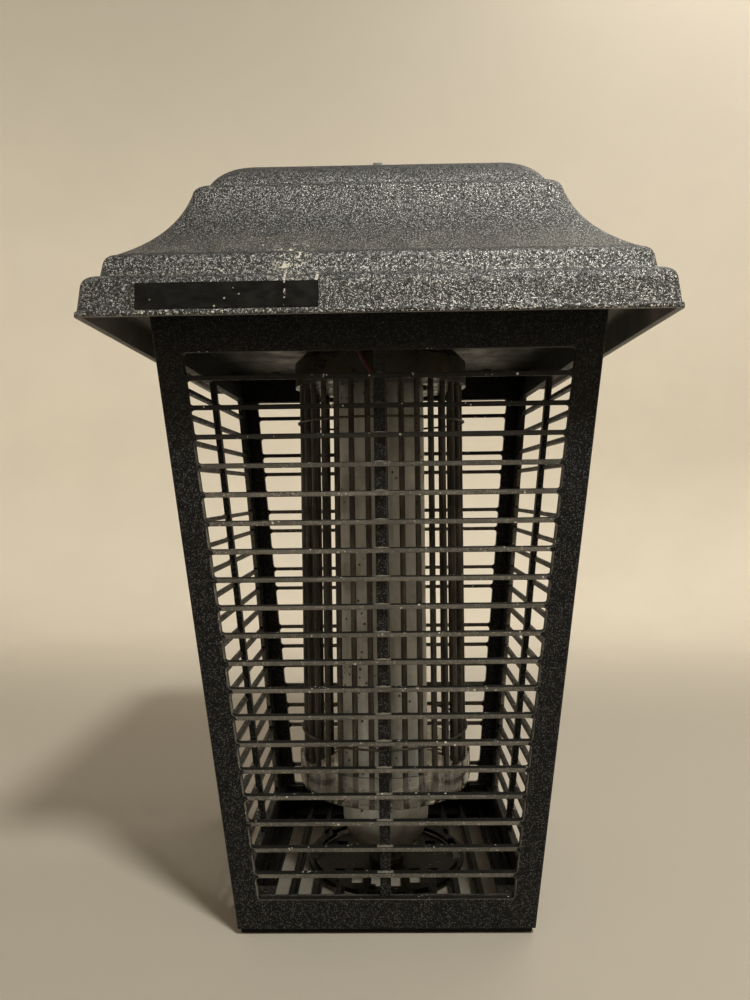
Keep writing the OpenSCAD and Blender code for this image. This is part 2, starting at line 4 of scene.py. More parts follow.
import bmesh
import bpy
from mathutils import Matrix, Vector


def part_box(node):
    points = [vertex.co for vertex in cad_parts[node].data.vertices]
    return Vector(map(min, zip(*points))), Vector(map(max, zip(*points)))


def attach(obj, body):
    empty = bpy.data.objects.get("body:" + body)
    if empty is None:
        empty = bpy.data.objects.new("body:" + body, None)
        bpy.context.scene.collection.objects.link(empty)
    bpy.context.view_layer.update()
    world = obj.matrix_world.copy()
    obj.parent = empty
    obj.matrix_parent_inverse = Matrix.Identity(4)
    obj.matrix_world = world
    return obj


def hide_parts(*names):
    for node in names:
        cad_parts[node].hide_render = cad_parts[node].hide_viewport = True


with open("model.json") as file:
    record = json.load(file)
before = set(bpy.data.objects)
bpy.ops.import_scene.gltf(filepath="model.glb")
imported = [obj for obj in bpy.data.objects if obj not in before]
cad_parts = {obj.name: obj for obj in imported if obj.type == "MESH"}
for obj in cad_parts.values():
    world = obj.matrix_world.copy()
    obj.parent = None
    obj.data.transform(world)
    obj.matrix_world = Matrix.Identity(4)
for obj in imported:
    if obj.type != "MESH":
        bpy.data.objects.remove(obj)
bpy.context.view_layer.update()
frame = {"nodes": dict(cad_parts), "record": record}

MM = 0.001              # a millimetre, in metres
NODES = frame["nodes"]


# ------------------------------------------------------------------ materials

class Shader:
    """A Principled material that is put together from a few short calls."""

    def __init__(self, name, **sockets):
        self.mat = bpy.data.materials.new(name)
        self.mat.use_nodes = True
        self.tree = self.mat.node_tree
        self.tree.nodes.clear()
        out = self.tree.nodes.new("ShaderNodeOutputMaterial")
        self.bsdf = self.tree.nodes.new("ShaderNodeBsdfPrincipled")
        self.tree.links.new(self.bsdf.outputs[0], out.inputs["Surface"])
        self.place = self.add("ShaderNodeTexCoord").outputs["Object"]
        for key, value in sockets.items():
            self.set(key.replace("_", " "), value)

    def add(self, kind, **settings):
        node = self.tree.nodes.new(kind)
        for key, value in settings.items():
            setattr(node, key, value)
        return node

    def plug(self, socket, value):
        if isinstance(value, bpy.types.NodeSocket):
            self.tree.links.new(value, socket)
        elif isinstance(value, tuple) and len(value) == 3 and socket.type == "RGBA":
            socket.default_value = (*value, 1)
        else:
            socket.default_value = value

    def set(self, name, value):
        for socket in self.bsdf.inputs:
            if socket.name.lower() == name.lower():
                self.plug(socket, value)
                return
        raise KeyError(name)

    def math(self, operation, a, b=0.0, clamp=False):
        node = self.add("ShaderNodeMath", operation=operation, use_clamp=clamp)
        self.plug(node.inputs[0], a)
        self.plug(node.inputs[1], b)
        return node.outputs[0]

    def times(self, a, b):
        return self.math("MULTIPLY", a, b)

    def most(self, a, b):
        return self.math("MAXIMUM", a, b)

    def step(self, value, lo, hi, out_lo=0.0, out_hi=1.0):
        """A smooth change from out_lo to out_hi as value goes from lo to hi."""
        node = self.add("ShaderNodeMapRange", interpolation_type="SMOOTHSTEP")
        for socket, v in zip(node.inputs, (value, lo, hi, out_lo, out_hi)):
            self.plug(socket, v)
        return node.outputs[0]

    def band(self, value, middle, half, soft):
        """1 within half of middle, falling to 0 over soft."""
        away = self.math("ABSOLUTE", self.math("SUBTRACT", value, middle))
        return self.step(away, half, half + soft, 1.0, 0.0)

    def stretched(self, x, y, z, vector=None):
        node = self.add("ShaderNodeVectorMath", operation="MULTIPLY")
        self.plug(node.inputs[0], vector or self.place)
        node.inputs[1].default_value = (x, y, z)
        return node.outputs[0]

    def noise(self, scale, detail=2.0, roughness=0.5, vector=None):
        node = self.add("ShaderNodeTexNoise")
        for key, v in (("Scale", scale), ("Detail", detail), ("Roughness", roughness),
                       ("Vector", vector or self.place)):
            self.plug(node.inputs[key], v)
        return node.outputs["Fac"]

    def cells(self, scale, smooth=None, vector=None):
        """Distance to the nearest of many scattered points, blended between them if smooth."""
        node = self.add("ShaderNodeTexVoronoi", feature="SMOOTH_F1" if smooth else "F1")
        self.plug(node.inputs["Scale"], scale)
        self.plug(node.inputs["Vector"], vector or self.place)
        if smooth:
            self.plug(node.inputs["Smoothness"], smooth)
        return node.outputs["Distance"]

    def mix(self, fac, a, b):
        node = self.add("ShaderNodeMix", data_type="RGBA")
        for socket, v in ((node.inputs[0], fac), (node.inputs[6], a), (node.inputs[7], b)):
            self.plug(socket, v)
        return node.outputs[2]

    def axes(self, vector=None):
        """The three coordinates of a vector, or of the point in the frame, in metres."""
        node = self.add("ShaderNodeSeparateXYZ")
        self.plug(node.inputs[0], vector or self.place)
        return node.outputs

    def facing_up(self, lo=0.3, hi=0.95):
        """0 to 1 as the surface turns from upright to level, by the upward part of its normal."""
        normal = self.add("ShaderNodeNewGeometry").outputs["Normal"]
        return self.step(self.axes(normal)[2], lo, hi)

    def bump(self, height, distance, strength):
        node = self.add("ShaderNodeBump")
        node.inputs["Strength"].default_value = strength
        node.inputs["Distance"].default_value = distance
        self.plug(node.inputs["Height"], height)
        self.set("Normal", node.outputs[0])

    def specks(self, scale, size, keep=0.5):
        """Small round dots, kept only where a coarser noise is high."""
        dot = self.step(self.cells(scale), size * 0.6, size, 1.0, 0.0)
        where = self.step(self.noise(scale * 0.23, 1.0), keep, keep + 0.06)
        return self.times(dot, where)

    def dust(self, base, colour, amount, patch_scale=60.0):
        """base with a dry film of colour on what faces up, broken up in patches."""
        patches = self.step(self.noise(patch_scale, 4.0, 0.6), 0.35, 0.75, 0.25, 1.0)
        cover = self.times(self.facing_up(), patches)
        return self.mix(self.times(cover, amount), base, colour)


TAN = (0.20, 0.178, 0.145)
GREY_DUST = (0.30, 0.28, 0.25)
OLD_WHITE = (0.62, 0.59, 0.52)

# Places on the roof that its paint and dirt go by, in metres
BAND_TOP = 0.379
SECOND_BAND = 0.3725
FLARE_FOOT = 0.3805
LOWER_LEDGE = 0.3672
UPPER_LEDGE = 0.4289
DOME_EDGE = 0.442
FLAT_TOP = 0.4476
SKIRT_EDGE = 0.3456
SPLASH_X = -0.0425
RUN_X = -0.0455
SHORT_RUN_X = -0.0296


def roof_material():
    s = Shader("roof_hammertone", Specular_IOR_Level=0.62)
    x, y, z = s.axes()

    def above_bands(low, high):
        """low on the two lower bands, high above them."""
        return s.step(z, BAND_TOP - 0.001, BAND_TOP + 0.001, low, high)

    drift = s.add("ShaderNodeTexNoise")
    s.plug(drift.inputs["Scale"], 420.0)
    s.plug(drift.inputs["Vector"], s.place)
    wander = s.add("ShaderNodeVectorMath", operation="ADD")
    s.plug(wander.inputs[0], s.place)
    s.plug(wander.inputs[1], s.stretched(0.0016, 0.0016, 0.0016, drift.outputs["Color"]))
    # Pebbled paint with bright flecks, partly metal flake and partly painted glints, finer above
    # the lower two bands
    pebble = s.cells(above_bands(760.0, 1100.0), 0.55, wander.outputs[0])
    fine = s.noise(above_bands(1900.0, 2100.0), 2.0, 0.6)
    clumps = s.noise(above_bands(700.0, 950.0), 2.0)
    crest = s.step(pebble, 0.12, 0.52, 1.0, 0.0)
    tone = s.mix(crest, (0.003, 0.003, 0.0035), (0.032, 0.032, 0.035))
    fleck_and_glint_from = s.step(s.band(z, SECOND_BAND, 0.0050, 0.0015), 0.0, 1.0, 0.52, 0.50)
    fleck_and_glint = s.times(s.step(fine, fleck_and_glint_from, 0.6), s.step(clumps, 0.44, 0.54))
    # Painted shade: the painted glints fade towards the left on the lower roof, as under light from
    # the right, and are weaker on level faces than on upright ones
    left_painted_shade = s.step(z, 0.405, 0.430, 0.62, 1.0)
    fleck_and_glint = s.times(fleck_and_glint, s.step(x, -0.15, 0.09, left_painted_shade, 1.0))
    level_glint_share = s.step(z, 0.41, 0.43, 0.64, 0.42)
    upright_glint = s.step(s.facing_up(0.1, 0.9), 0.0, 1.0, 1.0, level_glint_share)
    tone = s.mix(s.times(fleck_and_glint, upright_glint), tone, (0.80, 0.80, 0.81))
    blotch = s.noise(38.0, 4.0, 0.65)
    tone = s.mix(s.step(blotch, 0.45, 0.8, 0.0, 0.35), tone, (0.035, 0.036, 0.04))
    # Dry film above each ledge, at the foot of the flare and on the dome
    flare = s.step(z, FLARE_FOOT, 0.404, 1.0, 0.0)
    flare = s.times(flare, s.step(z, FLARE_FOOT - 0.002, FLARE_FOOT))
    ledges = s.most(s.band(z, LOWER_LEDGE, 0.0011, 0.0012), s.band(z, UPPER_LEDGE, 0.0010, 0.0014))
    ledges = s.times(ledges, s.step(s.noise(170.0, 3.0), 0.42, 0.62, 0.05, 0.6))
    film = s.most(flare, ledges)
    film = s.most(film, s.step(z, DOME_EDGE, FLAT_TOP, 0.0, 0.55))
    film = s.times(film, s.step(s.noise(95.0, 5.0, 0.7), 0.32, 0.7, 0.06, 0.42))
    grain = s.step(fine, 0.35, 0.65, 1.0, 0.25)
    tone = s.mix(s.times(film, grain), tone, TAN)
    # An old white splash with two runs on the front, debris on the skirt's edge, loose dots
    front = s.step(y, -0.095, -0.1, 0.0, 1.0)
    around = s.times(s.band(x, SPLASH_X, 0.004, 0.009), s.band(z, SECOND_BAND, 0.007, 0.010))
    splash = s.step(s.noise(420.0, 3.0, 0.7, s.stretched(1.0, 0.6, 0.75)), 0.56, 0.6)
    splash = s.times(s.times(splash, around), front)
    long_run = s.times(s.band(x, RUN_X, 0.0002, 0.0005), s.band(z, 0.3580, 0.0085, 0.003))
    short_run = s.times(s.band(x, SHORT_RUN_X, 0.0004, 0.0006), s.band(z, 0.3625, 0.0025, 0.003))
    runs = s.times(s.most(long_run, short_run), s.step(s.noise(700.0), 0.4, 0.5))
    white = s.most(splash, s.times(runs, front))
    rim = s.times(s.specks(520.0, 0.34, 0.50), s.band(z, SKIRT_EDGE, 0.0010, 0.0006))
    white = s.most(white, s.most(rim, s.specks(150.0, 0.13, 0.62)))
    tone = s.mix(white, tone, OLD_WHITE)
    s.set("Base Color", tone)
    rough = s.step(crest, 0.0, 1.0, 0.5, 0.3)
    rough = s.math("ADD", rough, s.times(s.most(film, white), 0.4), True)
    s.set("Roughness", rough)
    s.set("Metallic", s.times(fleck_and_glint, 0.35))
    s.bump(s.math("ADD", crest, s.times(fine, 0.5)), 0.00042, 0.9)
    return s.mat


def housing_material():
    s = Shader("housing_stipple", Specular_IOR_Level=0.16)
    grain = s.noise(950.0, 3.0, 0.62)
    lump = s.noise(330.0, 2.0, 0.5)
    tone = s.mix(s.step(grain, 0.35, 0.7), (0.0020, 0.0020, 0.0022), (0.0095, 0.0095, 0.0098))
    tone = s.mix(s.step(s.noise(24.0, 4.0, 0.6), 0.45, 0.8, 0.0, 0.3), tone, (0.010, 0.009, 0.0078))
    # Stippled pips, partly the plastic's grain and partly painted glints, fainter near the roof as
    # a painted shadow of the roof
    pip_and_glint = s.times(s.step(s.cells(980.0), 0.22, 0.46, 1.0, 0.0), s.step(s.noise(520.0), 0.32, 0.56))
    pip_and_glint = s.times(pip_and_glint, s.step(s.axes()[2], 0.27, 0.31, 0.85, 0.40))
    tone = s.mix(pip_and_glint, tone, (0.096, 0.095, 0.098))
    tone = s.mix(s.specks(260.0, 0.13, 0.66), tone, (0.24, 0.225, 0.2))
    tone = s.dust(tone, GREY_DUST, 0.12, 120.0)
    s.set("Base Color", tone)
    s.set("Roughness", s.step(grain, 0.3, 0.75, 0.62, 0.36))
    s.bump(s.math("ADD", grain, s.times(lump, 0.7)), 0.00036, 0.85)
    return s.mat


def roof_inner_material():
    s = Shader("roof_inside", Specular_IOR_Level=0.25)
    cloud = s.noise(35.0, 4.0, 0.6)
    tone = s.mix(s.step(cloud, 0.3, 0.7), (0.12, 0.117, 0.108), (0.23, 0.224, 0.208))
    tone = s.mix(s.step(s.noise(300.0, 3.0, 0.7), 0.55, 0.75, 0.0, 0.4), tone, (0.28, 0.27, 0.245))
    s.set("Base Color", tone)
    s.set("Roughness", s.step(cloud, 0.3, 0.7, 0.45, 0.65))
    s.bump(s.noise(500.0, 3.0, 0.6), 0.0001, 0.6)
    return s.mat


def slat_material(name, top):
    """Faded, dusty fronts, painted near black high up as the roof's shadow; top is the painted tone
    of the faces that look up.
    """
    s = Shader(name, Specular_IOR_Level=0.16)
    z = s.axes()[2]
    along = s.noise(70.0, 4.0, 0.6, vector=s.stretched(0.25, 0.25, 1.0))
    tone = s.mix(s.step(along, 0.3, 0.75), (0.078, 0.072, 0.063), (0.150, 0.139, 0.121))
    grit = s.step(s.noise(1150.0, 2.0, 0.6), 0.53, 0.66)
    grit = s.times(grit, s.step(s.noise(260.0, 2.0), 0.38, 0.62))
    tone = s.mix(s.times(grit, 0.8), tone, (0.36, 0.335, 0.29))
    pits = s.step(s.noise(620.0, 3.0, 0.7), 0.56, 0.72, 0.0, 0.75)
    tone = s.mix(pits, tone, (0.022, 0.020, 0.018))
    # Painted shadow of the roof: the fronts turn near black above about z 0.27 to 0.305
    roof_shadow = s.step(s.math("ADD", z, s.times(along, 0.02)), 0.268, 0.305)
    tone = s.mix(s.times(roof_shadow, 0.93), tone, (0.006, 0.006, 0.006))
    # Painted shade and highlight: faces that look up take the top tone, black on the slats and
    # lighter on the swellings
    tone = s.mix(s.facing_up(0.15, 0.55), tone, top)
    lint = s.most(s.specks(210.0, 0.17, 0.6), s.specks(430.0, 0.22, 0.58))
    tone = s.mix(lint, tone, (0.60, 0.57, 0.50))
    s.set("Base Color", tone)
    s.set("Roughness", s.step(s.noise(160.0, 3.0), 0.3, 0.7, 0.42, 0.62))
    s.bump(s.noise(700.0, 3.0, 0.6), 0.00012, 0.6)
    return s.mat


def base_material():
    s = Shader("base_plastic", Specular_IOR_Level=0.12)
    grain = s.noise(520.0, 3.0, 0.6)
    cloud = s.step(s.noise(45.0, 4.0, 0.6), 0.35, 0.7)
    tone = s.mix(cloud, (0.0016, 0.0015, 0.0014), (0.0046, 0.0042, 0.0036))
    tone = s.mix(s.specks(190.0, 0.17, 0.6), tone, (0.16, 0.14, 0.11))
    tone = s.dust(tone, (0.018, 0.015, 0.011), 0.35, 80.0)
    s.set("Base Color", tone)
    s.set("Roughness", s.step(grain, 0.3, 0.7, 0.4, 0.6))
    s.bump(grain, 0.00012, 0.7)
    return s.mat


def rubber_material():
    s = Shader("rubber", Roughness=0.82, Specular_IOR_Level=0.3)
    tone = s.mix(s.noise(90.0, 4.0, 0.6), (0.012, 0.0115, 0.011), (0.034, 0.031, 0.028))
    s.set("Base Color", s.dust(tone, GREY_DUST, 0.25))
    s.bump(s.noise(900.0, 3.0, 0.6), 0.00015, 0.7)
    return s.mat


def metal_material(name, dark, light, rough, grime, scratch=(1.0, 1.0, 0.06), metallic=0.9):
    s = Shader(name, Metallic=metallic)
    lines = s.noise(900.0, 3.0, 0.6, vector=s.stretched(*scratch))
    patch = s.noise(55.0, 4.0, 0.65)
    tone = s.mix(s.step(lines, 0.3, 0.7), dark, light)
    tone = s.mix(s.step(patch, 0.5, 0.72, 0.0, 0.8), tone, grime)
    tone = s.mix(s.specks(420.0, 0.2, 0.55), tone, (0.03, 0.025, 0.02))
    s.set("Base Color", tone)
    s.set("Roughness", s.step(patch, 0.3, 0.7, rough - 0.08, rough + 0.2))
    s.bump(lines, 0.00006, 0.5)
    return s.mat


def rod_material():
    s = Shader("grid_wire", Metallic=0.4)
    long_streak = s.noise(300.0, 3.0, 0.6, vector=s.stretched(1.0, 1.0, 0.05))
    film = s.noise(60.0, 5.0, 0.7, vector=s.stretched(1.0, 1.0, 0.35))
    tone = s.mix(s.step(long_streak, 0.3, 0.7), (0.036, 0.031, 0.024), (0.105, 0.093, 0.075))
    tone = s.mix(s.step(film, 0.4, 0.66, 0.0, 0.9), tone, (0.024, 0.019, 0.014))
    tone = s.mix(s.specks(330.0, 0.26, 0.5), tone, (0.014, 0.010, 0.007))
    tone = s.mix(s.specks(240.0, 0.15, 0.62), tone, (0.15, 0.135, 0.11))
    s.set("Base Color", tone)
    s.set("Roughness", s.step(film, 0.3, 0.7, 0.38, 0.75))
    s.bump(s.math("ADD", long_streak, s.noise(800.0, 3.0, 0.6)), 0.00012, 0.7)
    return s.mat


def insulator_material(name, clear, thick, dusty, transmission, film, gloss, relief):
    """Plastic that lets light through, between a clear and a thick tone, with a film of dust."""
    s = Shader(name, IOR=1.49, Transmission_Weight=transmission, Specular_IOR_Level=0.5)
    cloud = s.noise(42.0, 4.0, 0.65)
    tone = s.mix(s.step(cloud, 0.3, 0.7), clear, thick)
    tone = s.mix(s.specks(240.0, 0.2, 0.55), tone, (0.06, 0.05, 0.035))
    tone = s.dust(tone, dusty, film, 90.0)
    s.set("Base Color", tone)
    s.set("Roughness", s.step(s.noise(90.0, 3.0, 0.6), 0.3, 0.7, gloss, 2.5 * gloss))
    s.bump(s.noise(380.0, 3.0, 0.6), relief, 0.5)
    return s.mat


def lamp_material():
    s = Shader("lamp_coated_glass", Specular_IOR_Level=0.6, Coat_Weight=0.35, Coat_Roughness=0.12)
    z = s.axes()[2]
    streak = s.noise(160.0, 4.0, 0.65, vector=s.stretched(1.0, 1.0, 0.12))
    cloud = s.noise(30.0, 4.0, 0.6)
    tone = s.mix(s.step(streak, 0.3, 0.7), (0.52, 0.51, 0.465), (0.70, 0.69, 0.645))
    tone = s.mix(s.step(cloud, 0.42, 0.7, 0.0, 0.7), tone, (0.24, 0.23, 0.20))
    # The burnt upper ends, and the bend in the shade below
    ends = s.step(z, 0.29, 0.335, 0.0, 0.75)
    ends = s.times(ends, s.step(s.noise(50.0, 3.0), 0.2, 0.6))
    tone = s.mix(ends, tone, (0.085, 0.075, 0.06))
    tone = s.mix(s.step(z, 0.024, 0.041, 0.8, 0.0), tone, (0.095, 0.085, 0.068))
    tone = s.mix(s.specks(200.0, 0.24, 0.52), tone, (0.05, 0.042, 0.032))
    tone = s.dust(tone, (0.34, 0.31, 0.26), 0.6, 100.0)
    s.set("Base Color", tone)
    s.set("Roughness", s.step(cloud, 0.3, 0.7, 0.3, 0.6))
    s.bump(streak, 0.00008, 0.4)
    return s.mat


def badge_material():
    s = Shader("badge_film", Specular_IOR_Level=0.18)
    wear = s.noise(240.0, 4.0, 0.7, vector=s.stretched(0.5, 1.0, 1.0))
    tone = s.mix(s.step(wear, 0.35, 0.75), (0.003, 0.0031, 0.0033), (0.010, 0.0097, 0.009))
    tone = s.mix(s.specks(260.0, 0.16, 0.55), tone, (0.4, 0.38, 0.33))
    run = s.band(s.axes()[0], RUN_X, 0.0002, 0.0004)
    run = s.times(run, s.step(s.noise(520.0), 0.47, 0.55))
    tone = s.mix(run, tone, OLD_WHITE)
    s.set("Base Color", tone)
    s.set("Roughness", s.step(wear, 0.3, 0.7, 0.3, 0.5))
    s.bump(wear, 0.00005, 0.5)
    return s.mat


def moulded_material(name, low, high, rough=0.42):
    s = Shader(name, Specular_IOR_Level=0.5)
    tone = s.mix(s.noise(70.0, 4.0, 0.6), low, high)
    tone = s.mix(s.specks(230.0, 0.2, 0.58), tone, (0.16, 0.13, 0.1))
    s.set("Base Color", s.dust(tone, (0.3, 0.27, 0.22), 0.4))
    s.set("Roughness", s.step(s.noise(200.0, 3.0), 0.3, 0.7, rough - 0.08, rough + 0.1))
    s.bump(s.noise(600.0, 3.0, 0.6), 0.00006, 0.6)
    return s.mat


def layered_material(name, low, high, pitch, axis, rough, metallic):
    """Sheets or turns of wire lying side by side along one axis."""
    s = Shader(name, Metallic=metallic)
    along = s.axes()[axis]
    wave = s.math("SINE", s.times(along, 2 * math.pi / pitch))
    wave = s.step(s.math("ADD", wave, s.times(s.noise(300.0), 0.5)), -0.8, 0.9)
    tone = s.mix(wave, low, high)
    tone = s.mix(s.step(s.noise(90.0, 4.0), 0.5, 0.75, 0.0, 0.5), tone, low)
    s.set("Base Color", tone)
    s.set("Roughness", s.step(wave, 0.0, 1.0, rough + 0.15, rough))
    s.bump(wave, 0.0002, 0.8)
    return s.mat


SLOTS = {
    "housing": housing_material(),
    "base": base_material(),
    "roof": roof_material(),
    "badge": badge_material(),
    "rubber": rubber_material(),
    "zinc": metal_material("zinc_plate", (0.30, 0.295, 0.28), (0.52, 0.515, 0.49), 0.36,
                           (0.16, 0.135, 0.10)),
    # The deck sheet's dark tones are partly painted shade of the space under the roof, partly
    # dulling and grime
    "deck": metal_material("dulled_and_shaded_sheet", (0.048, 0.048, 0.046), (0.094, 0.093, 0.089), 0.42,
                           (0.040, 0.037, 0.033), (1.0, 0.15, 1.0), 0.8),
    "amber": insulator_material("amber_insulator", (0.060, 0.047, 0.031), (0.026, 0.021, 0.014),
                                (0.07, 0.06, 0.045), 0.3, 0.4, 0.22, 0.0001),
    "clear": insulator_material("clear_insulator", (0.80, 0.79, 0.75), (0.58, 0.565, 0.52),
                                (0.26, 0.25, 0.22), 0.93, 0.25, 0.045, 0.000004),
    "rods": rod_material(),
    "lamp_glass": lamp_material(),
    "white_plastic": moulded_material("white_plastic", (0.50, 0.48, 0.42), (0.66, 0.64, 0.58)),
    "brass": metal_material("brass_pin", (0.42, 0.29, 0.12), (0.62, 0.45, 0.2), 0.34,
                            (0.2, 0.13, 0.06)),
    "iron": layered_material("iron_sheets", (0.045, 0.043, 0.042), (0.13, 0.125, 0.12),
                             0.0011, 0, 0.45, 0.7),
    "bobbin": moulded_material("bobbin_plastic", (0.52, 0.45, 0.30), (0.68, 0.60, 0.42)),
    "winding": layered_material("wire_turns", (0.14, 0.055, 0.02), (0.42, 0.19, 0.08),
                                0.0009, 2, 0.3, 0.4),
    "capacitor": moulded_material("capacitor_case", (0.05, 0.10, 0.19), (0.075, 0.145, 0.26), 0.3),
    "red_lead": moulded_material("red_insulation", (0.040, 0.0045, 0.004),
                                 (0.075, 0.008, 0.007), 0.5),
    "black_lead": moulded_material("black_insulation", (0.011, 0.011, 0.012),
                                   (0.026, 0.026, 0.027), 0.5),
    "white_lead": moulded_material("white_insulation", (0.52, 0.50, 0.46), (0.66, 0.64, 0.60), 0.5),
}
# Two copies of one slat material that differ in the tone of their tops: black as painted shade on
# the slats, lighter as a painted highlight on the swellings over the rib
SLAT = slat_material("slat_plastic", (0.006, 0.006, 0.0055))
SWELLING_HIGHLIGHT = slat_material("slat_swelling_highlight", (0.13, 0.12, 0.10))
NODE_SLOT = {p["node"]: p["material_slot"] for p in frame["record"]["subparts"]}

for node_name, node in NODES.items():
    node.data.materials.clear()
    node.data.materials.append(SLOTS[NODE_SLOT[node_name]])


# ------------------------------------------------------------------ mesh helpers

def piece(name, vertices, faces, marks, materials, replaced, sharp):
    """A welded mesh on the root body, from points in millimetres, smooth up to sharp degrees."""
    mesh = bpy.data.meshes.new(name)
    mesh.from_pydata([Vector(v) * MM for v in vertices], [], faces)
    mesh.polygons.foreach_set("material_index", marks)
    bm = bmesh.new()
    bm.from_mesh(mesh)
    bmesh.ops.remove_doubles(bm, verts=bm.verts, dist=2e-6)
    bmesh.ops.dissolve_degenerate(bm, dist=1e-6, edges=bm.edges)
    bmesh.ops.recalc_face_normals(bm, faces=bm.faces)
    bm.to_mesh(mesh)
    bm.free()
    for material in materials:
        mesh.materials.append(material)
    mesh.shade_smooth()
    mesh.set_sharp_from_angle(angle=math.radians(sharp))
    obj = bpy.data.objects.new(name, mesh)
    bpy.context.scene.collection.objects.link(obj)
    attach(obj, "root")
    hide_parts(replaced)
    return obj


def bezier(p0, p1, p2, steps):
    """Points along the curve from p0 to p2 that leans towards p1."""
    for k in range(steps + 1):
        t = k / steps
        yield tuple((1 - t) ** 2 * a + 2 * t * (1 - t) * b + t * t * c
                    for a, b, c in zip(p0, p1, p2))


# ------------------------------------------------------------------ grilles
# Lengths are in millimetres. A grille is described as the front one, by points (x, s, d):
# x across, s up the slope of its face and d into its depth. The others are turned copies.

def box_mm(node_name):
    lo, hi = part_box(node_name)
    return lo / MM, hi / MM


GRILLE_LO, GRILLE_HI = box_mm("front_grille")
BODY_Z = GRILLE_LO.z
BODY_TOP = GRILLE_HI.z
FLARE = 0.1002          # how far a side leans out for each millimetre of height
LEAN = math.atan(FLARE)
BODY_HALF = GRILLE_HI.x - (BODY_TOP - BODY_Z) * FLARE
POST = 14.6             # width of the frame beside the window
PANEL = 5.0             # depth of the frame
SLATS = 19
PITCH = 15.66           # from slat to slat, in height
FIRST = 36.5            # height of the lowest slat's middle
SLAT_T = 2.7            # a slat's thickness
SLAT_D = 3.6            # a slat's depth
LAP = 0.6               # how far the frame's back layer starts inside the slats' layer
WINDOW_Z = (22.3, 331.8)
WINDOW = tuple((z - BODY_Z) / math.cos(LEAN) for z in WINDOW_Z)
SLOT_R = 2.0            # corner radius of the slots
SOFT = 0.42             # rounding along the edges
CORNER_R = 1.5          # rounding of the upright outer corners
RIB_HALF = 3.1          # half the rib's width
RIB_FRONT = 2.0         # depth of the rib's front, inside the slats
RIB_BACK = 5.8          # depth of the rib's back
RIB_R = 0.5             # rounding of the rib's edges
RIB_REACH = 2.0         # how far the rib runs on past the window
TICK_H = 0.7            # height of the swelling on a slat
TICK_X = 4.6            # half its length
ACROSS = 12             # divisions of a slot's straight edges
# The second mark is the slat material, with its painted roof shadow and painted shade on the tops;
# the third is the swellings' painted highlight
HOUSING, FADED_AND_SHADED, TOPPED = 0, 1, 2


class Quads:
    """Faces given by (x, s, d) points, each with the number of its material."""

    def __init__(self):
        self.faces, self.marks = [], []

    def add(self, points, mark=HOUSING):
        self.faces.append(points)
        self.marks.append(mark)


def half_at(s):
    """Half the width between the outer corner lines."""
    return BODY_HALF + s * math.sin(LEAN)


def on_face(x, s, d):
    """A point of the front grille in the shared frame."""
    z = BODY_Z + s * math.cos(LEAN) + d * math.sin(LEAN)
    return Vector((x, -BODY_HALF - s * math.sin(LEAN) + d * math.cos(LEAN),
                   min(max(z, BODY_Z), BODY_TOP)))


def slot_edges():
    """(lower, upper) edge of each opening between the slats."""
    middles = [(FIRST - BODY_Z + i * PITCH) / math.cos(LEAN) for i in range(SLATS)]
    lows = [WINDOW[0]] + [m + SLAT_T / 2 for m in middles]
    highs = [m - SLAT_T / 2 for m in middles] + [WINDOW[1]]
    return list(zip(lows, highs))


def slot_widths(lo, hi):
    """Half the length of a slot's straight lower and upper edges."""
    return half_at(lo + SLOT_R) - POST - SLOT_R, half_at(hi - SLOT_R) - POST - SLOT_R


def right_side(lo, hi, grow, steps=4):
    """The right half of a slot's outline, from its lower edge up to its upper edge."""
    w_lo, w_hi = slot_widths(lo, hi)
    r = SLOT_R + grow
    points = []
    for k in range(steps + 1):
        a = math.radians(-90 + 90 * k / steps)
        points.append((w_lo + r * math.cos(a), lo + SLOT_R + r * math.sin(a)))
    for k in range(steps + 1):
        a = math.radians(90 * k / steps)
        points.append((w_hi + r * math.cos(a), hi - SLOT_R + r * math.sin(a)))
    return points


def outline(lo, hi, grow):
    """A slot's closed outline, anticlockwise, with its straight edges divided."""
    def across(a, b):
        return [(a[0] + (b[0] - a[0]) * k / ACROSS, a[1]) for k in range(1, ACROSS)]

    right = right_side(lo, hi, grow)
    left = [(-x, s) for x, s in reversed(right)]
    return right + across(right[-1], left[0]) + left + across(left[-1], right[0])


def wall_rings(d0, d1, r_front, r_back, steps=3):
    """(grow, depth) of each ring down a slot's wall, rounded at both of its edges."""
    turns = [math.radians(90 * k / steps) for k in range(steps + 1)]
    front = [(r_front * (1 - math.sin(a)), d0 + r_front * (1 - math.cos(a))) for a in turns]
    back = [(r_back * (1 - math.cos(a)), d1 - r_back * (1 - math.sin(a))) for a in turns]
    return front + back


def foot_at(depth):
    """Height up the slope of the level lower edge, which is rounded at the front."""
    left = max(0.0, SOFT - depth)
    return SOFT - math.sqrt(SOFT ** 2 - left ** 2) - depth * math.tan(LEAN)


def head_at(depth):
    """Height up the slope of the level upper edge."""
    return (BODY_TOP - BODY_Z) / math.cos(LEAN) - depth * math.tan(LEAN)


def corner_stations(d0, d1):
    """(depth, inset from the corner line) round a layer's outer corner and down its mitre."""
    mitre = [(d, d * math.cos(LEAN)) for d in (d0, d1)]
    if d0 > 0:
        return mitre
    turns = [math.radians(45 * k / 4) for k in range(5)]
    rounded = [(CORNER_R * (1 - math.cos(a)), CORNER_R * (1 - math.sin(a))) for a in turns]
    return rounded + mitre[1:]


def row_across(width, outer):
    """x of the points along one level: the outer corner, the frame's inner side, then evenly."""
    inside = [width * (1 - 2 * j / ACROSS) for j in range(ACROSS + 1)]
    return [outer] + inside + [-outer]


